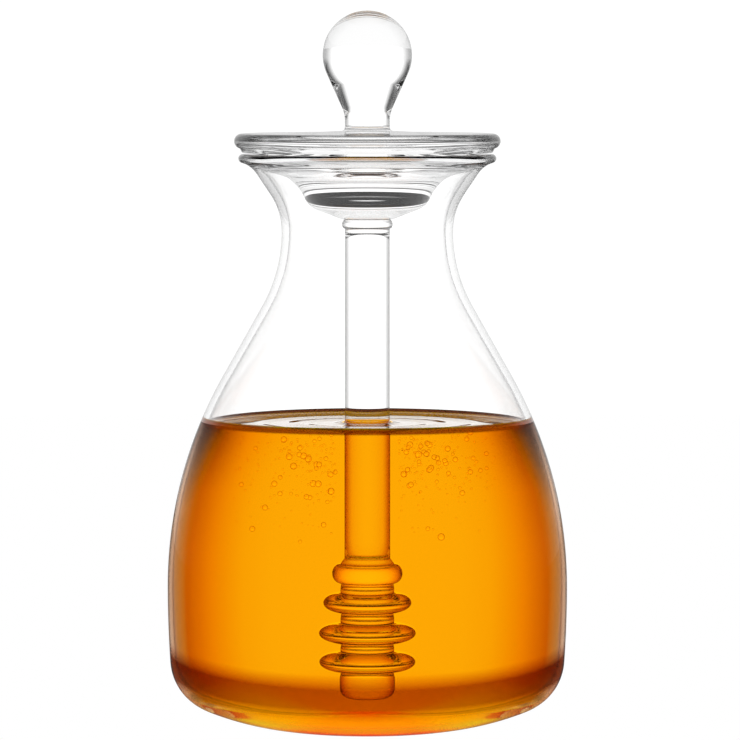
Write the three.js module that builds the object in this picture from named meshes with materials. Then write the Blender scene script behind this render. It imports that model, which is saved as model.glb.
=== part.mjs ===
// A blown glass honey jar, part full of honey, with a stopper lid whose glass rod ends in a ringed dipper.
// The jar stands on the XY plane and its axis is the Z axis. Lengths are in millimetres, angles in degrees.
import * as THREE from "three";

// Gap kept where one piece touches the next
const CLEARANCE = 0.3;

// Sides of the turned solids, and steps along the arcs of their profiles
const JAR_SIDES = 44;
const LID_SIDES = 32;
const RIM_STEPS = 4;
const RIM_CORNER_STEPS = 2;
const TIP_CORNER_STEPS = 3;
const RING_STEPS = 4;
const WELD_STEPS = 4;
const BEAD_STEPS = 7;
const KNOB_FOOT_STEPS = 2;
const KNOB_NECK_STEPS = 3;
const KNOB_BALL_STEPS = 10;

// Jar: the flat spot that it stands on, then the stretches of its outer outline from that spot up to the mouth.
// A heading of 0 points outwards and 90 points up. A positive turn bends the wall inwards, a negative one
// outwards, and each stretch names the thickness that the wall has reached at its end.
const FOOT_RADIUS = 13.5;
const BASE_THICKNESS = 2.2;
const JAR_STRETCHES = [
  { radius: 62, turn: 22.4, steps: 3, wall: 2 }, // base
  { radius: 12, turn: 63.7, steps: 5, wall: 1.5 }, // heel
  { radius: 250, turn: 3.9, steps: 1, wall: 1.4 }, // side
  { radius: 97.3, turn: 29.4, steps: 5, wall: 1.4 }, // shoulder
  { length: 18, turn: 0, steps: 1, wall: 1.6 }, // cone
  { radius: 34.4, turn: -29.4, steps: 4, wall: 1.7 }, // waist
  { radius: 15, turn: -34, steps: 3, wall: 1.8 }, // throat
  { length: 5.6, turn: 0, steps: 1, wall: 1.9 }, // mouth
];

// Rim: the lip flares on its outside only. Inside, the mouth runs on straight up to the rim's flat top.
const LIP = { radius: 6, turn: -40, steps: 3, wall: 2 };
const RIM = { radius: 1, innerCorner: 0.7 };

// Honey: the height of its surface
const HONEY_LEVEL = 68.8;

// Dipper: a round-cornered tip, then rings that are half ellipses in section, then the rod
const TIP = { bottom: 6.6, top: 11.3, radius: 6.2, corner: 2.4 };
const RING_CORE_RADIUS = 6;
const RING_HALF_HEIGHT = 2.2;
const RINGS = [
  { height: 15, radius: 10.8 },
  { height: 21.5, radius: 10.9 },
  { height: 28.4, radius: 9.9 },
  { height: 35, radius: 7.9 },
];
const ROD_RADIUS = 5.1;
const ROD_FOOT_BLEND = 1.2;

// Weld where the rod meets the lid, a low bead
const WELD = { height: 114.2, halfHeight: 1.1, radius: 5.75 };

// Underside of the lid: a shallow bowl that flares out to the plug
const BOWL = { radius: 6.2, bottom: 115.5, slope: 22 };
const UNDERSIDE_STRETCHES = [
  { length: 5.5, turn: 0, steps: 1, wall: 0 }, // bowl floor
  { radius: 5, turn: 43, steps: 3, wall: 0 }, // bowl side
  { radius: 12, turn: -40, steps: 3, wall: 0 }, // flare
  { length: 2.4, turn: 0, steps: 1, wall: 0 }, // flare edge
];

// Plug that drops into the mouth, and the flange that rests on the rim
const PLUG = { radius: 22.6, bottom: 127.4 };
const FLANGE = { bottom: 130.1, footRadius: 28.3, innerRadius: 26.6, edgeTop: 133.9, crown: 134.9 };
const BEAD = { centreRadius: 28.3, height: 132.6, radius: 1.7, lowAngle: -75, topAngle: 120 };

// Knob: a short neck with a rounded foot, a cone and a ball
const KNOB_FOOT = { radius: 5.9, height: 0.9 };
const KNOB_NECK = { radius: 5.05, top: 137, blend: 8 };
const KNOB_BALL = { radius: 10.05, height: 151.9 };
const KNOB_CONE_ANGLE = 23.5;

const rad = THREE.MathUtils.degToRad;
const point = (r, z) => new THREE.Vector2(r, z);

// Follows the stretches from a start and returns the outline's points with their heading and wall thickness.
function follow(stretches, start) {
  const trail = [start];
  for (const { radius, length, turn, steps, wall } of stretches) {
    const from = trail.at(-1);
    for (let i = 1; i <= steps; i++) {
      const share = i / steps;
      const heading = from.heading + turn * share;
      const bend = Math.sign(turn) * radius;
      const out = turn
        ? bend * (Math.sin(rad(heading)) - Math.sin(rad(from.heading)))
        : length * share * Math.cos(rad(heading));
      const up = turn
        ? bend * (Math.cos(rad(from.heading)) - Math.cos(rad(heading)))
        : length * share * Math.sin(rad(heading));
      const thickness = from.wall + (wall - from.wall) * share;
      trail.push({ r: from.r + out, z: from.z + up, heading, wall: thickness });
    }
  }
  return trail;
}

// The place a given distance inside the outline, measured square to it.
function inside({ r, z, heading }, distance) {
  return point(r - distance * Math.sin(rad(heading)), z + distance * Math.cos(rad(heading)));
}

// Points along part of an ellipse round (r, z), where an angle of 0 points outwards and 90 up.
function ellipse(r, z, halfWidth, halfHeight, from, to, steps) {
  return Array.from({ length: steps + 1 }, (_, i) => {
    const angle = rad(from + ((to - from) * i) / steps);
    return point(r + halfWidth * Math.cos(angle), z + halfHeight * Math.sin(angle));
  });
}

// A solid of revolution about Z. Its profile runs anticlockwise, with r to the right and z up.
function turned(name, profile, sides, material) {
  const geometry = new THREE.LatheGeometry(profile, sides);
  geometry.rotateX(Math.PI / 2);
  const mesh = new THREE.Mesh(geometry, material);
  mesh.name = name;
  return mesh;
}

const jarWall = follow(JAR_STRETCHES, { r: FOOT_RADIUS, z: 0, heading: 0, wall: BASE_THICKNESS });

// The jar goes up its outside to the lip, round the rim, and down its inside to the axis.
function makeJar(material) {
  const mouth = jarWall.at(-1);
  const lip = follow([LIP], mouth);
  const lipEnd = lip.at(-1);
  const rimCentre = inside(lipEnd, RIM.radius);
  const mouthSlope = rad(mouth.heading);
  const mouthInside = inside(mouth, mouth.wall);
  const cornerHeight = rimCentre.y + RIM.radius - RIM.innerCorner;
  const cornerRadius =
    mouthInside.x +
    (cornerHeight - mouthInside.y) / Math.tan(mouthSlope) +
    RIM.innerCorner / Math.sin(mouthSlope);
  const profile = [
    point(0, 0),
    ...jarWall.map((place) => inside(place, 0)),
    ...lip.slice(1, -1).map((place) => inside(place, 0)),
    ...ellipse(rimCentre.x, rimCentre.y, RIM.radius, RIM.radius, lipEnd.heading - 90, 90, RIM_STEPS),
    ...ellipse(
      cornerRadius,
      cornerHeight,
      RIM.innerCorner,
      RIM.innerCorner,
      90,
      90 + mouth.heading,
      RIM_CORNER_STEPS,
    ),
    ...jarWall.map((place) => inside(place, place.wall)).reverse(),
    point(0, BASE_THICKNESS),
  ];
  return turned("jar", profile, JAR_SIDES, material);
}

// Half the dipper's outline, from the axis under its tip up to the rod, grown by a clearance.
function dipperOutline(clearance) {
  const corner = TIP.corner + clearance;
  const tipCorner = ellipse(TIP.radius - TIP.corner, TIP.bottom + TIP.corner, corner, corner, -90, 0, TIP_CORNER_STEPS);
  const rings = RINGS.flatMap(({ height, radius }) =>
    ellipse(
      RING_CORE_RADIUS + clearance,
      height,
      radius - RING_CORE_RADIUS,
      RING_HALF_HEIGHT + clearance,
      -90,
      90,
      RING_STEPS,
    ),
  );
  const lastRing = rings.at(-1);
  return [
    point(0, TIP.bottom - clearance),
    ...tipCorner,
    point(TIP.radius + clearance, TIP.top),
    ...rings,
    point(ROD_RADIUS + clearance, lastRing.y + ROD_FOOT_BLEND),
  ];
}

// The honey fills the jar's inside up to its level and closes round the dipper.
function makeHoney(material) {
  const against = jarWall.map((place) => inside(place, place.wall + CLEARANCE));
  const wet = against.filter((place) => place.y < HONEY_LEVEL);
  const [under, over] = [wet.at(-1), against[wet.length]];
  const share = (HONEY_LEVEL - under.y) / (over.y - under.y);
  const profile = [
    point(0, BASE_THICKNESS + CLEARANCE),
    ...wet,
    point(under.x + (over.x - under.x) * share, HONEY_LEVEL),
    point(ROD_RADIUS + CLEARANCE, HONEY_LEVEL),
    ...dipperOutline(CLEARANCE).reverse(),
  ];
  return turned("honey", profile, JAR_SIDES, material);
}

// The lid and the dipper are one fused piece of glass, from the dipper's tip to the top of the knob.
function makeLid(material) {
  const weldOut = WELD.radius - ROD_RADIUS;
  const weld = ellipse(ROD_RADIUS, WELD.height, weldOut, WELD.halfHeight, -90, 90, WELD_STEPS);
  const underside = follow(UNDERSIDE_STRETCHES, {
    r: BOWL.radius,
    z: BOWL.bottom,
    heading: BOWL.slope,
    wall: 0,
  }).map((place) => inside(place, 0));
  const bead = ellipse(
    BEAD.centreRadius,
    BEAD.height,
    BEAD.radius,
    BEAD.radius,
    BEAD.lowAngle,
    BEAD.topAngle,
    BEAD_STEPS,
  );
  const foot = ellipse(
    KNOB_FOOT.radius,
    FLANGE.crown + KNOB_FOOT.height,
    KNOB_FOOT.radius - KNOB_NECK.radius,
    KNOB_FOOT.height,
    -90,
    -180,
    KNOB_FOOT_STEPS,
  );
  const neck = ellipse(
    KNOB_NECK.radius + KNOB_NECK.blend,
    KNOB_NECK.top,
    KNOB_NECK.blend,
    KNOB_NECK.blend,
    180,
    180 - KNOB_CONE_ANGLE,
    KNOB_NECK_STEPS,
  );
  const ball = ellipse(
    0,
    KNOB_BALL.height,
    KNOB_BALL.radius,
    KNOB_BALL.radius,
    -KNOB_CONE_ANGLE,
    90,
    KNOB_BALL_STEPS,
  );
  const profile = [
    ...dipperOutline(0),
    ...weld,
    ...underside,
    point(PLUG.radius, PLUG.bottom),
    point(PLUG.radius, FLANGE.bottom),
    point(FLANGE.footRadius, FLANGE.bottom),
    ...bead,
    point(FLANGE.innerRadius, FLANGE.edgeTop),
    ...foot,
    ...neck,
    ...ball.slice(0, -1),
    point(0, KNOB_BALL.height + KNOB_BALL.radius),
  ];
  return turned("lid", profile, LID_SIDES, material);
}

const clearGlass = new THREE.MeshStandardMaterial({
  color: 0xf4f7f6,
  roughness: 0.03,
  metalness: 0,
  transparent: true,
  opacity: 0.35,
});
const amberHoney = new THREE.MeshStandardMaterial({ color: 0xe88a06, roughness: 0.08, metalness: 0 });

const honeyJar = new THREE.Group();
honeyJar.add(makeJar(clearGlass), makeHoney(amberHoney), makeLid(clearGlass));

export default honeyJar;
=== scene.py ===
"""A glass honey jar with a dipper lid, part full of clear honey."""
import math
import random

import bmesh
import bpy
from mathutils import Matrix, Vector


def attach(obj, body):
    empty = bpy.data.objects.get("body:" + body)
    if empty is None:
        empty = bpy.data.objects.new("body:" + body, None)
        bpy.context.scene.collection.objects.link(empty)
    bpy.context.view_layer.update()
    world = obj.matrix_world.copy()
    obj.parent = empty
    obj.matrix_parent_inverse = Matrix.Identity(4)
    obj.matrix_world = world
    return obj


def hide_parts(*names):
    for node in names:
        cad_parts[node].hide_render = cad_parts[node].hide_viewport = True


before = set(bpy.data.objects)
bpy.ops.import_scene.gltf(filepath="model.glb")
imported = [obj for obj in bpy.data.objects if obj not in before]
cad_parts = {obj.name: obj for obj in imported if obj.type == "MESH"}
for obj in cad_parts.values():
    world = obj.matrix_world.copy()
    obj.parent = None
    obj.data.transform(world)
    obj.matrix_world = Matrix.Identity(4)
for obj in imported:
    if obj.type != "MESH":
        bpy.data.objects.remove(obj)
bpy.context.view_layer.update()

# Camera
# A long lens a little over a metre away looks very slightly down, so the rims show as flat ellipses.
CAMERA_PLACE = Vector((0.0006, -1.28, 0.1545))
CAMERA_AIM = Vector((0.0006, 0.0, 0.0810))
LENS = 276.5
SENSOR_WIDTH = 36
NEAREST = 0.1
FARTHEST = 100

camera_data = bpy.data.cameras.new("camera")
camera_data.lens = LENS
camera_data.sensor_width = SENSOR_WIDTH
camera_data.clip_start = NEAREST
camera_data.clip_end = FARTHEST
camera = bpy.data.objects.new("camera", camera_data)
camera.location = CAMERA_PLACE
camera.rotation_euler = (CAMERA_AIM - CAMERA_PLACE).to_track_quat("-Z", "Y").to_euler()
bpy.context.scene.collection.objects.link(camera)
bpy.context.scene.camera = camera

# Studio
# The jar stands on a white light table before a bright white backdrop. The room gets darker round to the
# camera's side, and that darkness, bent by the glass, draws its grey edges, helped by shade painted into the
# glass.
SEEN_WHITE = 1.05
BACKDROP_LIGHT = 1.25
REFLECTED_SHARE = 0.6
# Shares of the light by how far back a direction points, from 0 at the camera's side to 1 at the backdrop.
# At table height the sides are lit too. Higher up only the backdrop is.
LIGHT_LOW = [(0.32, 0.12), (0.5, 0.34), (0.77, 0.5), (0.82, 0.62), (0.865, 0.8), (0.92, 1)]
LIGHT_HIGH = [(0.72, 0.06), (0.8, 0.35), (0.88, 1)]
LOW_TO_HIGH = (0.06, 0.16)
WHITE = (1, 1, 1, 1)
# Light crosses the jar, the honey and the dipper one after another, so it needs many bounces.
BOUNCES = 32
GLOSSY_BOUNCES = 16


def linear(code):
    """The linear colour of an sRGB hex value."""
    parts = [int(code[i : i + 2], 16) / 255 for i in (0, 2, 4)]
    return [p / 12.92 if p <= 0.04045 else ((p + 0.055) / 1.055) ** 2.4 for p in parts] + [1.0]


def node(tree, kind, links=None, values=None, stops=(), **settings):
    """Adds a node with its properties, its linked sockets, its socket values and its ramp's stops."""
    made = tree.nodes.new(kind)
    for name, value in settings.items():
        setattr(made, name, value)
    for socket, value in (values or {}).items():
        made.inputs[socket].default_value = value
    for socket, source in (links or {}).items():
        tree.links.new(source, made.inputs[socket])
    for number, (place, shade) in enumerate(stops):
        ramp = made.color_ramp.elements
        stop = ramp[number] if number < len(ramp) else ramp.new(place)
        stop.position = place
        stop.color = linear(shade) if isinstance(shade, str) else (shade, shade, shade, 1)
    return made


world = bpy.data.worlds.new("studio")
bpy.context.scene.world = world
world.use_nodes = True
sky = world.node_tree
sky.nodes.clear()
ray = node(sky, "ShaderNodeLightPath")
where = node(sky, "ShaderNodeTexCoord")
way = node(sky, "ShaderNodeSeparateXYZ", {0: where.outputs["Generated"]})
# Half the way's Y and a half run from 0 to 1, front to back.
back = node(sky, "ShaderNodeMath", {0: way.outputs["Y"]}, {1: 0.5, 2: 0.5}, operation="MULTIPLY_ADD")
low = node(sky, "ShaderNodeValToRGB", {0: back.outputs[0]}, stops=LIGHT_LOW)
high = node(sky, "ShaderNodeValToRGB", {0: back.outputs[0]}, stops=LIGHT_HIGH)
rise = node(
    sky,
    "ShaderNodeMapRange",
    {"Value": way.outputs["Z"]},
    {"From Min": LOW_TO_HIGH[0], "From Max": LOW_TO_HIGH[1]},
)
light = node(
    sky,
    "ShaderNodeMix",
    {0: rise.outputs[0], 6: low.outputs[0], 7: high.outputs[0]},
    data_type="RGBA",
)
through = node(sky, "ShaderNodeBackground", {"Color": light.outputs[2]}, {"Strength": BACKDROP_LIGHT})
mirrored = node(
    sky,
    "ShaderNodeBackground",
    {"Color": light.outputs[2]},
    {"Strength": BACKDROP_LIGHT * REFLECTED_SHARE},
)
# The camera itself sees plain white, and reflections see the room dimmer than light that comes through.
seen = node(sky, "ShaderNodeBackground", values={"Color": WHITE, "Strength": SEEN_WHITE})
unseen = node(
    sky,
    "ShaderNodeMixShader",
    {0: ray.outputs["Is Reflection Ray"], 1: through.outputs[0], 2: mirrored.outputs[0]},
)
room = node(
    sky,
    "ShaderNodeMixShader",
    {0: ray.outputs["Is Camera Ray"], 1: unseen.outputs[0], 2: seen.outputs[0]},
)
node(sky, "ShaderNodeOutputWorld", {"Surface": room.outputs[0]})

bpy.context.scene.view_settings.view_transform = "Standard"
bpy.context.scene.cycles.max_bounces = BOUNCES
bpy.context.scene.cycles.transmission_bounces = BOUNCES
bpy.context.scene.cycles.glossy_bounces = GLOSSY_BOUNCES

# The light table is a large disc a tenth of a millimetre below the jar, so that the two don't touch.
TABLE_RADIUS = 1.1
TABLE_SIDES = 96
TABLE_LIGHT = 1.0
TABLE_REFLECTED_SHARE = 0.1
TABLE_DROP = 0.0001
table_mesh = bpy.data.meshes.new("table")
disc = bmesh.new()
bmesh.ops.create_circle(disc, cap_ends=True, segments=TABLE_SIDES, radius=TABLE_RADIUS)
disc.to_mesh(table_mesh)
disc.free()
table = bpy.data.objects.new("table", table_mesh)
table.location.z = -TABLE_DROP
bpy.context.scene.collection.objects.link(table)
opal_glass = bpy.data.materials.new("opal glass of the light table, lit from below")
opal_glass.use_nodes = True
tree = opal_glass.node_tree
tree.nodes.clear()
ray = node(tree, "ShaderNodeLightPath")
glow = node(tree, "ShaderNodeEmission", values={"Color": WHITE, "Strength": TABLE_LIGHT})
dim = node(
    tree,
    "ShaderNodeEmission",
    values={"Color": WHITE, "Strength": TABLE_LIGHT * TABLE_REFLECTED_SHARE},
)
lit = node(
    tree,
    "ShaderNodeMixShader",
    {0: ray.outputs["Is Reflection Ray"], 1: glow.outputs[0], 2: dim.outputs[0]},
)
node(tree, "ShaderNodeOutputMaterial", {"Surface": lit.outputs[0]})
table_mesh.materials.append(opal_glass)

# Jar
# One bubble of clear borosilicate glass, blown and worked on the lathe to a bell. The lip flares on its
# outside only: inside, the mouth runs on straight up to the rim's flat top.
MM = 0.001
JAR_SIDES = 240
FOOT_RADIUS = 13.5
FOOT_RINGS = 4
BASE_THICKNESS = 2.2
# Kind, length or radius, turn in degrees, wall at the end of the stretch.
JAR_STRETCHES = [
    ("arc", 62, 22.4, 2.0),
    ("arc", 12, 63.7, 1.5),
    ("arc", 250, 3.9, 1.4),
    ("arc", 97.3, 29.4, 1.4),
    ("line", 18, 0, 1.6),
    ("arc", 34.4, -29.4, 1.7),
    ("arc", 15, -34, 1.8),
    ("line", 5.6, 0, 1.9),
]
LIP_STRETCH = ("arc", 6, -40, 2.0)
WALL_STEP = 0.8
RIM_RADIUS = 1.0
RIM_STEPS = 10
RIM_INNER_CORNER = 0.7
INNER_CORNER_STEPS = 5
# So many of the inner corner's rings still count as the outer face.
CORNER_OUTSIDE = 3


def follow(stretches, start, step):
    """Walks along arcs and lines from (r, z, heading, wall) and returns the places that it passes."""
    trail = [start]
    for kind, size, turn, wall in stretches:
        r, z, heading, thick = trail[-1]
        reach = size if kind == "line" else abs(math.radians(turn)) * size
        steps = max(2, round(reach / step))
        for i in range(1, steps + 1):
            share = i / steps
            to = heading + turn * share
            if kind == "line":
                out = size * share * math.cos(math.radians(heading))
                up = size * share * math.sin(math.radians(heading))
            else:
                bend = math.copysign(size, turn)
                out = bend * (math.sin(math.radians(to)) - math.sin(math.radians(heading)))
                up = bend * (math.cos(math.radians(heading)) - math.cos(math.radians(to)))
            trail.append((r + out, z + up, to, thick + (wall - thick) * share))
    return trail


def inside(place, distance):
    """The place a distance inside the outline, square to it."""
    r, z, heading, _ = place
    return r - distance * math.sin(math.radians(heading)), z + distance * math.cos(math.radians(heading))


def arc(r, z, half_width, half_height, start, end, steps):
    """Points along part of an ellipse, where 0 degrees points outwards and 90 up."""
    angles = [math.radians(start + (end - start) * i / steps) for i in range(steps + 1)]
    return [(r + half_width * math.cos(a), z + half_height * math.sin(a)) for a in angles]


def turned(name, profile, sides):
    """A smooth solid turned about Z from a profile in millimetres that starts and ends on the axis."""
    mesh = bpy.data.meshes.new(name)
    made = bmesh.new()
    turns = [2 * math.pi * i / sides for i in range(sides)]
    rings = []
    for r, z in profile:
        around = turns if r > 0 else turns[:1]
        ring = [made.verts.new((r * MM * math.cos(t), r * MM * math.sin(t), z * MM)) for t in around]
        rings.append(ring)
    for low, high in zip(rings, rings[1:]):
        for i in range(sides):
            j = (i + 1) % sides
            if len(low) == 1:
                made.faces.new((low[0], high[j], high[i]))
            elif len(high) == 1:
                made.faces.new((low[i], low[j], high[0]))
            else:
                made.faces.new((low[i], low[j], high[j], high[i]))
    for face in made.faces:
        face.smooth = True
    made.normal_update()
    made.to_mesh(mesh)
    made.free()
    piece = bpy.data.objects.new(name, mesh)
    bpy.context.scene.collection.objects.link(piece)
    return piece


jar_wall = follow(JAR_STRETCHES, (FOOT_RADIUS, 0, 0, BASE_THICKNESS), WALL_STEP)
mouth = jar_wall[-1]
mouth_slope = math.radians(mouth[2])
mouth_r, mouth_z = inside(mouth, mouth[3])
lip = follow([LIP_STRETCH], mouth, WALL_STEP)[1:]
rim_r, rim_z = inside(lip[-1], RIM_RADIUS)
rim = arc(rim_r, rim_z, RIM_RADIUS, RIM_RADIUS, lip[-1][2] - 90, 90, RIM_STEPS)
corner_z = rim_z + RIM_RADIUS - RIM_INNER_CORNER
corner_r = mouth_r + (corner_z - mouth_z) / math.tan(mouth_slope) + RIM_INNER_CORNER / math.sin(mouth_slope)
corner = arc(
    corner_r,
    corner_z,
    RIM_INNER_CORNER,
    RIM_INNER_CORNER,
    90,
    mouth[2] + 90,
    INNER_CORNER_STEPS,
)
foot_rings = [FOOT_RADIUS * i / FOOT_RINGS for i in range(FOOT_RINGS)]
jar_outside = (
    [(r, 0) for r in foot_rings]
    + [place[:2] for place in jar_wall + lip[:-1]]
    + rim
    + corner[:CORNER_OUTSIDE]
)
jar_inside = (
    corner[CORNER_OUTSIDE:]
    + [inside(place, place[3]) for place in reversed(jar_wall)]
    + [(r, BASE_THICKNESS) for r in reversed(foot_rings)]
)
jar = turned("jar_glass", jar_outside + jar_inside, JAR_SIDES)

# Blown borosilicate glass is smooth as the flame left it, so it has no roughness. Where it is seen edge on,
# shade painted into its colour turns the glass grey, from (how edge on, share of light let through).
GLASS_IOR = 1.47
GLASS_GLEAM = (0.05, 0.05, 0.05, 1)
OUTER_EDGE_SHADE = [(0.3, 1), (0.6, 0.85), (0.8, 0.6), (0.92, 0.4), (1, 0.2)]
INNER_EDGE_SHADE = [(0.68, 1), (0.81, 0.7), (0.84, 0.25), (0.9, 0.03)]
# With this blend, how edge on a face is runs evenly from 0 square on to 1 edge on, as 1 less the cosine.
FACING_BLEND = 0.5


def see_through(name, ior, gleam):
    """A clear, smooth material and the tree and shader that its colour goes into."""
    made = bpy.data.materials.new(name)
    made.use_nodes = True
    tree = made.node_tree
    tree.nodes.clear()
    shader = node(
        tree,
        "ShaderNodeBsdfPrincipled",
        values={"IOR": ior, "Roughness": 0.0, "Specular Tint": gleam, "Transmission Weight": 1.0},
    )
    node(tree, "ShaderNodeOutputMaterial", {"Surface": shader.outputs[0]})
    return made, tree, shader


def paint_shade_by_edge(tree, shader, stops):
    """Colours a clear material with painted shade, by how edge on its surface is seen."""
    facing = node(tree, "ShaderNodeLayerWeight", values={"Blend": FACING_BLEND})
    shade = node(tree, "ShaderNodeValToRGB", {0: facing.outputs["Facing"]}, stops=stops)
    tree.links.new(shade.outputs[0], shader.inputs["Base Color"])


def wall_sight(tree):
    """The height of a point of the wall, and how edge on the wall would be seen there if it were upright."""
    where = node(tree, "ShaderNodeTexCoord")
    place = node(tree, "ShaderNodeSeparateXYZ", {0: where.outputs["Object"]})
    flat = node(
        tree,
        "ShaderNodeVectorMath",
        {0: where.outputs["Object"]},
        {1: (1, 1, 0)},
        operation="MULTIPLY",
    )
    outward = node(tree, "ShaderNodeVectorMath", {0: flat.outputs[0]}, operation="NORMALIZE")
    facing = node(tree, "ShaderNodeLayerWeight", {"Normal": outward.outputs[0]}, {"Blend": FACING_BLEND})
    return place.outputs["Z"], facing.outputs["Facing"]


for name, stops in (("outer face", OUTER_EDGE_SHADE), ("inner face", INNER_EDGE_SHADE)):
    blown_glass, tree, shader = see_through("blown borosilicate glass, " + name, GLASS_IOR, GLASS_GLEAM)
    paint_shade_by_edge(tree, shader, stops)
    jar.data.materials.append(blown_glass)

# Below the honey's level the same glass is wet with honey, which bends light as much as the glass does, so
# the wall all but vanishes. Painted shade draws a thin dark line at the edge, which widens to a grey-brown
# corner near the level, and painted light makes the thick base glow amber.
WET_TOP = 69.5 * MM
WET_IOR = 1.05
WET_EDGE_SHADE = [(0.84, 1), (0.88, 0.4), (0.93, 0.25), (1, 0.6)]
CORNER_HEIGHTS = (50 * MM, 66 * MM)
CORNER_SIGHTS = (0.53, 0.7)
CORNER_SHADE_GREY = "a89c94"
# Stops are shares of the glow's height above the table.
BASE_GLOW_HEIGHT = 20 * MM
BASE_GLOW_AMBER = [(0, "fff000"), (0.2, "fff010"), (0.34, "fff4c0"), (0.45, "ffffff")]
wet_glass, tree, shader = see_through("blown borosilicate glass, wet with honey", WET_IOR, GLASS_GLEAM)
height, sight = wall_sight(tree)
# Painted shade: a thin dark line where the wall is seen edge on.
line = node(tree, "ShaderNodeValToRGB", {0: sight}, stops=WET_EDGE_SHADE)
near_base = node(tree, "ShaderNodeMapRange", {"Value": height}, {"From Max": BASE_GLOW_HEIGHT})
# Painted light: an amber glow in the thick base, by height.
base = node(tree, "ShaderNodeValToRGB", {0: near_base.outputs[0]}, stops=BASE_GLOW_AMBER)
tint = node(
    tree,
    "ShaderNodeMix",
    {6: line.outputs[0], 7: base.outputs[0]},
    {0: 1},
    data_type="RGBA",
    blend_type="MULTIPLY",
)
near_level = node(
    tree,
    "ShaderNodeMapRange",
    {"Value": height},
    {"From Min": CORNER_HEIGHTS[0], "From Max": CORNER_HEIGHTS[1]},
)
near_edge = node(
    tree,
    "ShaderNodeMapRange",
    {"Value": sight},
    {"From Min": CORNER_SIGHTS[0], "From Max": CORNER_SIGHTS[1]},
)
in_corner = node(
    tree,
    "ShaderNodeMath",
    {0: near_level.outputs[0], 1: near_edge.outputs[0]},
    operation="MULTIPLY",
)
# Painted shade: a grey-brown corner near the level, towards the edge.
cornered = node(
    tree,
    "ShaderNodeMix",
    {0: in_corner.outputs[0], 6: tint.outputs[2]},
    {7: linear(CORNER_SHADE_GREY)},
    data_type="RGBA",
    blend_type="MULTIPLY",
)
tree.links.new(cornered.outputs[2], shader.inputs["Base Color"])
jar.data.materials.append(wet_glass)
OUTER_FACE, INNER_FACE, WET_FACE = range(3)
for face in jar.data.polygons:
    if face.center.z < WET_TOP:
        face.material_index = WET_FACE
    elif face.index // JAR_SIDES >= len(jar_outside):
        face.material_index = INNER_FACE
    else:
        face.material_index = OUTER_FACE
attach(jar, "root")
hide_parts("jar")

# Lid and dipper
# Knob, flange, plug, rod and the dipper's rings are worked from clear borosilicate rod and fused in the
# flame to one piece, which rests with its flange on the jar's rim.
LID_SIDES = 160
TIP = dict(bottom=6.6, top=11.3, radius=6.2, corner=2.4)
TIP_STEPS = 10
RING_CORE = 6.0
RING_HALF_HEIGHT = 2.2
RING_STEPS = 18
# Height and radius of each ring, from the tip up.
RINGS = [(15, 10.8), (21.5, 10.9), (28.4, 9.9), (35, 7.9)]
ROD_RADIUS = 5.1
ROD_FOOT_BLEND = 1.2
ROD_HEIGHTS = [42.4 + 4 * i for i in range(18)]
WELD = dict(height=114.2, half_height=1.1, radius=5.75)
WELD_STEPS = 10
BOWL = dict(radius=6.2, bottom=115.5, slope=22)
UNDERSIDE = [("line", 5.5, 0, 0), ("arc", 5, 43, 0), ("arc", 12, -40, 0), ("line", 2.4, 0, 0)]
UNDERSIDE_STEP = 0.5
PLUG = dict(radius=22.6, bottom=127.4)
FLANGE = dict(bottom=130.1, foot=28.3, inner=26.6, edge_top=133.9, crown=134.9)
BEAD = dict(centre=28.3, height=132.6, radius=1.7, start=-75, end=120)
BEAD_STEPS = 20
KNOB_FOOT = dict(radius=5.9, height=0.9)
KNOB_FOOT_STEPS = 6
KNOB_NECK = dict(radius=5.05, top=137, blend=8)
KNOB_NECK_STEPS = 8
KNOB_BALL = dict(radius=10.05, height=151.9)
KNOB_BALL_STEPS = 36
# The angle, up from straight out, at which the neck's curve meets the ball.
KNOB_CONE = 23.5


def dipper_outline(grow):
    """Half the dipper's outline from the axis under its tip up to the rod, grown by a distance."""
    tip_r = TIP["radius"] - TIP["corner"]
    tip_z = TIP["bottom"] + TIP["corner"]
    corner = TIP["corner"] + grow
    points = [(0, TIP["bottom"] - grow)]
    points += arc(tip_r, tip_z, corner, corner, -90, 0, TIP_STEPS)
    points.append((TIP["radius"] + grow, TIP["top"]))
    for height, radius in RINGS:
        half_height = RING_HALF_HEIGHT + grow
        points += arc(RING_CORE + grow, height, radius - RING_CORE, half_height, -90, 90, RING_STEPS)
    points.append((ROD_RADIUS + grow, points[-1][1] + ROD_FOOT_BLEND))
    return points


rod_run = [(ROD_RADIUS, height) for height in ROD_HEIGHTS]
weld_run = arc(
    ROD_RADIUS,
    WELD["height"],
    WELD["radius"] - ROD_RADIUS,
    WELD["half_height"],
    -90,
    90,
    WELD_STEPS,
)
bowl_edge = (BOWL["radius"], BOWL["bottom"], BOWL["slope"], 0)
underside_run = [place[:2] for place in follow(UNDERSIDE, bowl_edge, UNDERSIDE_STEP)]
plug_run = [
    (PLUG["radius"], PLUG["bottom"]),
    (PLUG["radius"], FLANGE["bottom"]),
    (FLANGE["foot"], FLANGE["bottom"]),
]
bead_run = arc(
    BEAD["centre"],
    BEAD["height"],
    BEAD["radius"],
    BEAD["radius"],
    BEAD["start"],
    BEAD["end"],
    BEAD_STEPS,
)
knob_foot = arc(
    KNOB_FOOT["radius"],
    FLANGE["crown"] + KNOB_FOOT["height"],
    KNOB_FOOT["radius"] - KNOB_NECK["radius"],
    KNOB_FOOT["height"],
    -90,
    -180,
    KNOB_FOOT_STEPS,
)
knob_neck = arc(
    KNOB_NECK["radius"] + KNOB_NECK["blend"],
    KNOB_NECK["top"],
    KNOB_NECK["blend"],
    KNOB_NECK["blend"],
    180,
    180 - KNOB_CONE,
    KNOB_NECK_STEPS,
)
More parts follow.
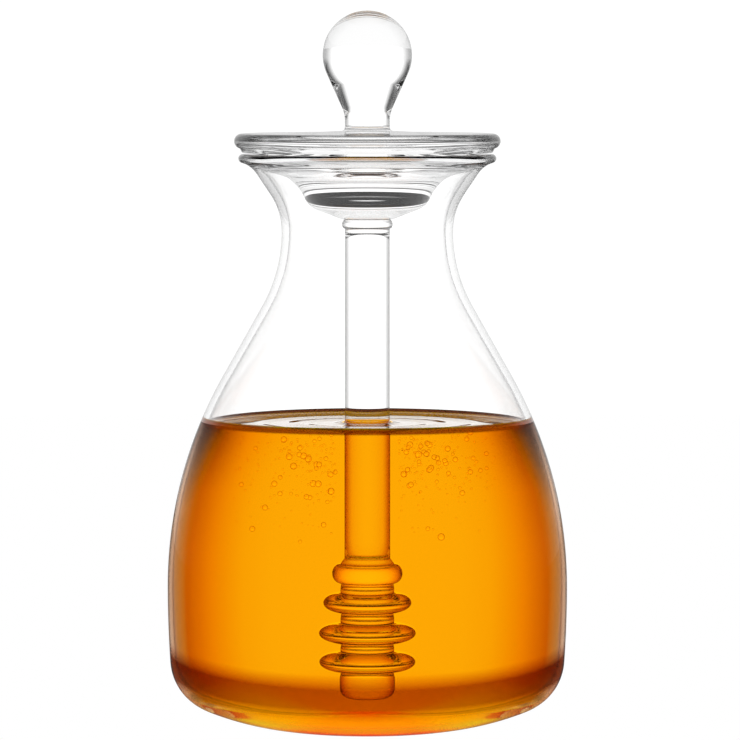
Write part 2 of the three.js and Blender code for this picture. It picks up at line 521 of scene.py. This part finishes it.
knob_ball = arc(
    0,
    KNOB_BALL["height"],
    KNOB_BALL["radius"],
    KNOB_BALL["radius"],
    -KNOB_CONE,
    90,
    KNOB_BALL_STEPS,
)
knob_top = (0, KNOB_BALL["height"] + KNOB_BALL["radius"])
lid_profile = (
    dipper_outline(0)
    + rod_run
    + weld_run
    + underside_run
    + plug_run
    + bead_run
    + [(FLANGE["inner"], FLANGE["edge_top"])]
    + knob_foot
    + knob_neck
    + knob_ball[:-1]
    + [knob_top]
)
lid = turned("lid_glass", lid_profile, LID_SIDES)

# Flame-worked borosilicate is as smooth as the jar, and its edges are greyed with painted shade as the jar's
# are. In the honey its edges are soft, because the honey bends light nearly as much, so the sunk part has a
# lower index against the honey's own. Towards the bead the flange is seen through its whole width, and
# painted shade greys the bead's upper half soonest.
HONEY_LEVEL = 68.8
SUNK_IOR = 1.3
BEAD_EDGE_SHADE = [(0.12, 1), (0.3, 0.5), (0.5, 0.15), (0.7, 0.05)]
for name, ior, stops in (
    ("in air", GLASS_IOR, OUTER_EDGE_SHADE),
    ("in honey", SUNK_IOR, OUTER_EDGE_SHADE),
    ("beaded edge", GLASS_IOR, BEAD_EDGE_SHADE),
):
    worked_glass, tree, shader = see_through("flame-worked borosilicate glass, " + name, ior, GLASS_GLEAM)
    paint_shade_by_edge(tree, shader, stops)
    lid.data.materials.append(worked_glass)
IN_AIR, IN_HONEY, ON_BEAD = range(3)
for face in lid.data.polygons:
    out = math.hypot(face.center.x, face.center.y)
    if face.center.z < HONEY_LEVEL * MM:
        face.material_index = IN_HONEY
    elif out > BEAD["centre"] * MM and face.center.z > BEAD["height"] * MM:
        face.material_index = ON_BEAD
    else:
        face.material_index = IN_AIR
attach(lid, "root")
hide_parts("lid")

# Honey
# Clear liquid honey, poured in to below the shoulder. It wets the wall and climbs it a little, and where it
# was stirred and has not yet settled its surface has low rings round the dipper.
HONEY_WET = 0.15
DIPPER_FILM = 0.05
# The climb at the wall and at the rod falls off by e over one reach, and is drawn for three.
WALL_CLIMB = 1.3
ROD_CLIMB = 0.78
CLIMB_REACH = 0.9
CLIMB_REACHES = 3
CLIMB_STEPS = 12
# Radius and height of each ring on the surface, and the bare width inside and outside them.
WAVES = [(25, 0.25), (15, 0.2)]
WAVE_WIDTH = 2.2
WAVES_FROM_AXIS = 12
WAVES_FROM_EDGE = 4
WAVE_STEPS = 24
CAVITY_HEIGHTS = [66.4 - 4 * i for i in range(7)]


def climb_run(start, towards, rise):
    """The surface from a wall at radius start out to where its climb ends, 1 outwards or -1 inwards."""
    shares = [i * CLIMB_REACHES / CLIMB_STEPS for i in range(CLIMB_STEPS + 1)]
    return [(start + towards * CLIMB_REACH * s, HONEY_LEVEL + rise * math.exp(-s)) for s in shares]


against = [inside(place, place[3] - HONEY_WET) for place in jar_wall]
top = HONEY_LEVEL + WALL_CLIMB
wet_run = [place for place in against if place[1] < top]
last = wet_run[-1]
over = against[len(wet_run)]
edge = last[0] + (over[0] - last[0]) * (top - last[1]) / (over[1] - last[1])
rod_edge = ROD_RADIUS + DIPPER_FILM
wave_start = edge - WAVES_FROM_EDGE
wave_run = []
for i in range(WAVE_STEPS + 1):
    r = wave_start - (wave_start - WAVES_FROM_AXIS) * i / WAVE_STEPS
    wave = sum(rise * math.exp(-(((r - middle) / WAVE_WIDTH) ** 2)) for middle, rise in WAVES)
    wave_run.append((r, HONEY_LEVEL + wave))
surface = climb_run(edge, -1, WALL_CLIMB) + wave_run + climb_run(rod_edge, 1, ROD_CLIMB)[::-1]
side_run = [(0, BASE_THICKNESS - HONEY_WET)] + wet_run
dipper_run = [(rod_edge, height) for height in CAVITY_HEIGHTS] + dipper_outline(DIPPER_FILM)[::-1]
honey = turned("honey", side_run + surface + dipper_run, JAR_SIDES)

# Honey against the glass is a clear amber. Towards the jar's edge painted shade turns it brown, and painted
# light turns it cream where the curved wall gathers the light of the table.
HONEY_IOR = 1.01
NO_GLEAM = (0, 0, 0, 1)
AMBER_EDGE_SHADE_AND_LIGHT = [
    (0, "ffa804"),
    (0.12, "fda604"),
    (0.21, "fa9f02"),
    (0.29, "f48e00"),
    (0.35, "ee8100"),
    (0.43, "dd6d00"),
    (0.53, "c75800"),
    (0.565, "c46a12"),
    (0.64, "b87838"),
    (0.68, "bc8460"),
    (0.71, "cda07c"),
    (0.76, "e0bea2"),
]
# Near the surface painted shade makes the amber darker at the edge. Stops are shares of the ramp's height
# above the table.
CORNER_SHADE_RAMP_HEIGHT = 100 * MM
CORNER_SHADE_UP = [(0.42, 0), (0.55, 0.15), (0.69, 1)]
CORNER_SHADE_SHIFT = 0.1
CORNER_SHADE_SIGHTS = (0.28, 0.5)
# In the round of the base the light crosses the honey's skin again and again, so each crossing is paler,
# and towards the edge painted light turns it cream.
FOOT_AMBER_AND_LIGHT = [
    (0, "ffa808"),
    (0.08, "ff940a"),
    (0.2, "ffa018"),
    (0.35, "ffdc80"),
    (0.5, "fff0d0"),
    (0.7, "f0e0d0"),
]
FOOT_HEIGHTS = (3.5 * MM, 8 * MM)
# A brown band of painted shade lies on the honey 11 mm up, where the turn of the wall into the base throws
# shade, and bends up at the edge.
BAND_HEIGHT = 11.4 * MM
BAND_HALF_RANGE = 10 * MM
BAND_BEND = 4.3 * MM
PAINTED_BAND = [(0.19, 0), (0.35, 0.95), (0.58, 1), (0.75, 0)]
BAND_MIDDLE = 0.86
BAND_EDGE = 0.25
BAND_SHADE_WARM = "ff8e00"
SHADE_BROWN = "4f2006"
# A dark brown line of painted shade runs round just under the level, where the honey starts to climb the
# wall.
CONTACT_HEIGHTS = (68.5 * MM, 68.9 * MM)
CONTACT_SHADE_BROWN = "541804"
wall_honey, tree, shader = see_through("liquid honey against the glass", HONEY_IOR, NO_GLEAM)
height, sight = wall_sight(tree)
share_up = node(tree, "ShaderNodeMapRange", {"Value": height}, {"From Max": CORNER_SHADE_RAMP_HEIGHT})
# Painted shade near the surface: its strength by height.
deeper = node(tree, "ShaderNodeValToRGB", {0: share_up.outputs[0]}, stops=CORNER_SHADE_UP)
# The painted shade shifts the edge towards the ramp's browner stops.
depth = node(
    tree,
    "ShaderNodeMath",
    {0: deeper.outputs[0], 2: sight},
    {1: CORNER_SHADE_SHIFT},
    operation="MULTIPLY_ADD",
)
# The amber, with painted shade and painted light towards the edge.
side_amber = node(tree, "ShaderNodeValToRGB", {0: depth.outputs[0]}, stops=AMBER_EDGE_SHADE_AND_LIGHT)
# Painted light: the foot's amber turns pale towards the edge.
foot_amber = node(tree, "ShaderNodeValToRGB", {0: sight}, stops=FOOT_AMBER_AND_LIGHT)
above_foot = node(
    tree,
    "ShaderNodeMapRange",
    {"Value": height},
    {"From Min": FOOT_HEIGHTS[0], "From Max": FOOT_HEIGHTS[1]},
)
amber = node(
    tree,
    "ShaderNodeMix",
    {0: above_foot.outputs[0], 6: foot_amber.outputs[0], 7: side_amber.outputs[0]},
    data_type="RGBA",
)
# The painted shades fall only where light enters, so that the far wall does not draw them a second time.
side = node(tree, "ShaderNodeNewGeometry")
front = node(tree, "ShaderNodeMath", {1: side.outputs["Backfacing"]}, {0: 1}, operation="SUBTRACT")
# Painted shade: the brown band, bending up at the edge.
over_band = node(
    tree,
    "ShaderNodeMath",
    {0: sight, 2: height},
    {1: -BAND_BEND},
    operation="MULTIPLY_ADD",
)
across = node(
    tree,
    "ShaderNodeMapRange",
    {"Value": over_band.outputs[0]},
    {"From Min": BAND_HEIGHT - BAND_HALF_RANGE, "From Max": BAND_HEIGHT + BAND_HALF_RANGE},
)
band = node(tree, "ShaderNodeValToRGB", {0: across.outputs[0]}, stops=PAINTED_BAND)
front_band = node(
    tree,
    "ShaderNodeMath",
    {0: band.outputs[0], 1: front.outputs[0]},
    operation="MULTIPLY",
)
# Painted shade: the band first warms the amber.
warm = node(
    tree,
    "ShaderNodeMix",
    {0: front_band.outputs[0], 6: amber.outputs[2]},
    {7: linear(BAND_SHADE_WARM)},
    data_type="RGBA",
    blend_type="MULTIPLY",
)
stronger = node(
    tree,
    "ShaderNodeMath",
    {0: sight},
    {1: BAND_EDGE, 2: BAND_MIDDLE},
    operation="MULTIPLY_ADD",
)
band_shade = node(
    tree,
    "ShaderNodeMath",
    {0: band.outputs[0], 1: stronger.outputs[0]},
    operation="MULTIPLY",
    use_clamp=True,
)
# Painted corner shade: near the surface and towards the edge.
near_edge = node(
    tree,
    "ShaderNodeMapRange",
    {"Value": sight},
    {"From Min": CORNER_SHADE_SIGHTS[0], "From Max": CORNER_SHADE_SIGHTS[1]},
)
corner_shade = node(
    tree,
    "ShaderNodeMath",
    {0: deeper.outputs[0], 1: near_edge.outputs[0]},
    operation="MULTIPLY",
)
shade = node(
    tree,
    "ShaderNodeMath",
    {0: band_shade.outputs[0], 1: corner_shade.outputs[0]},
    operation="MAXIMUM",
)
front_shade = node(
    tree,
    "ShaderNodeMath",
    {0: shade.outputs[0], 1: front.outputs[0]},
    operation="MULTIPLY",
)
# Painted shade: the band and the corner are darkened towards brown.
deep = node(
    tree,
    "ShaderNodeMix",
    {0: front_shade.outputs[0], 6: warm.outputs[2]},
    {7: linear(SHADE_BROWN)},
    data_type="RGBA",
    blend_type="MULTIPLY",
)
# Painted shade: the dark line just under the level.
contact = node(
    tree,
    "ShaderNodeMapRange",
    {"Value": height},
    {"From Min": CONTACT_HEIGHTS[0], "From Max": CONTACT_HEIGHTS[1]},
)
colour = node(
    tree,
    "ShaderNodeMix",
    {0: contact.outputs[0], 6: deep.outputs[2]},
    {7: linear(CONTACT_SHADE_BROWN)},
    data_type="RGBA",
)
tree.links.new(colour.outputs[2], shader.inputs["Base Color"])
honey.data.materials.append(wall_honey)

# The open surface bends and mirrors light as real honey does. It is amber seen from above, and at a low
# angle, where it lets little light through, it is painted grey-brown with shade.
OPEN_IOR = 1.49
OPEN_SURFACE_SHADE = [(0, "c08434"), (0.6, "a07034"), (0.84, "4a4034")]
open_honey, tree, shader = see_through("liquid honey, open surface", OPEN_IOR, NO_GLEAM)
paint_shade_by_edge(tree, shader, OPEN_SURFACE_SHADE)
honey.data.materials.append(open_honey)

# Round the dipper the honey is darkened with painted shade where the glass is seen edge on.
ROUND_DIPPER_SHADE = [(0, "ffffff"), (0.25, "f8e4c0"), (0.5, "d89c58"), (0.8, "a86424"), (1, "6a3810")]
dipper_honey, tree, shader = see_through("liquid honey round the dipper", HONEY_IOR, NO_GLEAM)
paint_shade_by_edge(tree, shader, ROUND_DIPPER_SHADE)
honey.data.materials.append(dipper_honey)

# Where it climbs the rod it is a thin, bright yellow film.
FILM_IOR = 1.1
ROD_FILM = "f4ec90"
ROD_FILM_RADIUS = 5.9
rod_film, tree, shader = see_through("liquid honey, thin film on the rod", FILM_IOR, NO_GLEAM)
shader.inputs["Base Color"].default_value = linear(ROD_FILM)
honey.data.materials.append(rod_film)

# Where it climbs the wall its skin is steep, lets little light through and is painted grey-brown with shade
# from every side.
CLIMB_SHADE_GREY = "604e46"
climbing_honey, tree, shader = see_through("liquid honey, climbing the wall", OPEN_IOR, NO_GLEAM)
shader.inputs["Base Color"].default_value = linear(CLIMB_SHADE_GREY)
honey.data.materials.append(climbing_honey)

AGAINST_WALL, OPEN_TOP, ROUND_THE_DIPPER, UP_THE_ROD, UP_THE_WALL = range(5)
side_rings = len(side_run) - 1
for face in honey.data.polygons:
    ring = face.index // JAR_SIDES
    out = math.hypot(face.center.x, face.center.y)
    if ring < side_rings:
        face.material_index = AGAINST_WALL
    elif ring >= side_rings + len(surface):
        face.material_index = ROUND_THE_DIPPER
    elif out < ROD_FILM_RADIUS * MM:
        face.material_index = UP_THE_ROD
    elif out > (edge - CLIMB_REACHES * CLIMB_REACH) * MM:
        face.material_index = UP_THE_WALL
    else:
        face.material_index = OPEN_TOP
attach(honey, "root")
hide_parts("honey")

# Air bubbles
# Small bubbles of air, taken up as the honey was poured, hang in its upper half, with finer specks of air
# among them. They keep clear of the rod's line, where the rod would draw them out to streaks.
BUBBLE_SEED = 7
BUBBLES = 120
BUBBLE_RADII = (0.35, 0.85)
SPECKS = 600
SPECK_RADII = (0.12, 0.28)
BALL_DETAIL = 2
AXIS_DISTANCES = (8, 30)
ROD_CLEARANCE = 7
# The least depth below the level, how the depths spread from there, and the most that they go deeper.
LEAST_DEPTH = 3
DEPTH_SPREAD = 9
MOST_DEEPER = 22

pick = random.Random(BUBBLE_SEED)
ball = bmesh.new()
bmesh.ops.create_icosphere(ball, subdivisions=BALL_DETAIL, radius=1)
ball_places = [vert.co.copy() for vert in ball.verts]
ball_faces = [[vert.index for vert in face.verts] for face in ball.faces]
ball.free()
places = []
faces = []
for i in range(BUBBLES + SPECKS):
    radius = pick.uniform(*(BUBBLE_RADII if i < BUBBLES else SPECK_RADII))
    away = pick.uniform(*AXIS_DISTANCES)
    turn = pick.uniform(0, 2 * math.pi)
    down = LEAST_DEPTH + min(MOST_DEEPER, abs(pick.gauss(0, DEPTH_SPREAD)))
    spot = Vector((away * math.cos(turn), away * math.sin(turn), HONEY_LEVEL - down))
    if abs(spot.x) < ROD_CLEARANCE:
        continue
    faces += [[len(places) + corner for corner in face] for face in ball_faces]
    places += [(spot + place * radius) * MM for place in ball_places]
bubble_mesh = bpy.data.meshes.new("bubbles")
bubble_mesh.from_pydata(places, [], faces)
bubble_mesh.polygons.foreach_set("use_smooth", [True] * len(bubble_mesh.polygons))
bubbles = bpy.data.objects.new("bubbles", bubble_mesh)
bpy.context.scene.collection.objects.link(bubbles)

# Air bends light less than honey, so each bubble is a clear ball, its brown outline painted shade.
BUBBLE_IOR = 1.12
BUBBLE_EDGE_SHADE = [(0, "ffffff"), (0.3, "fff0e0"), (0.5, "e0a070"), (0.75, "a05820")]
air, tree, shader = see_through("air bubble in honey", BUBBLE_IOR, NO_GLEAM)
paint_shade_by_edge(tree, shader, BUBBLE_EDGE_SHADE)
bubble_mesh.materials.append(air)
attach(bubbles, "root")
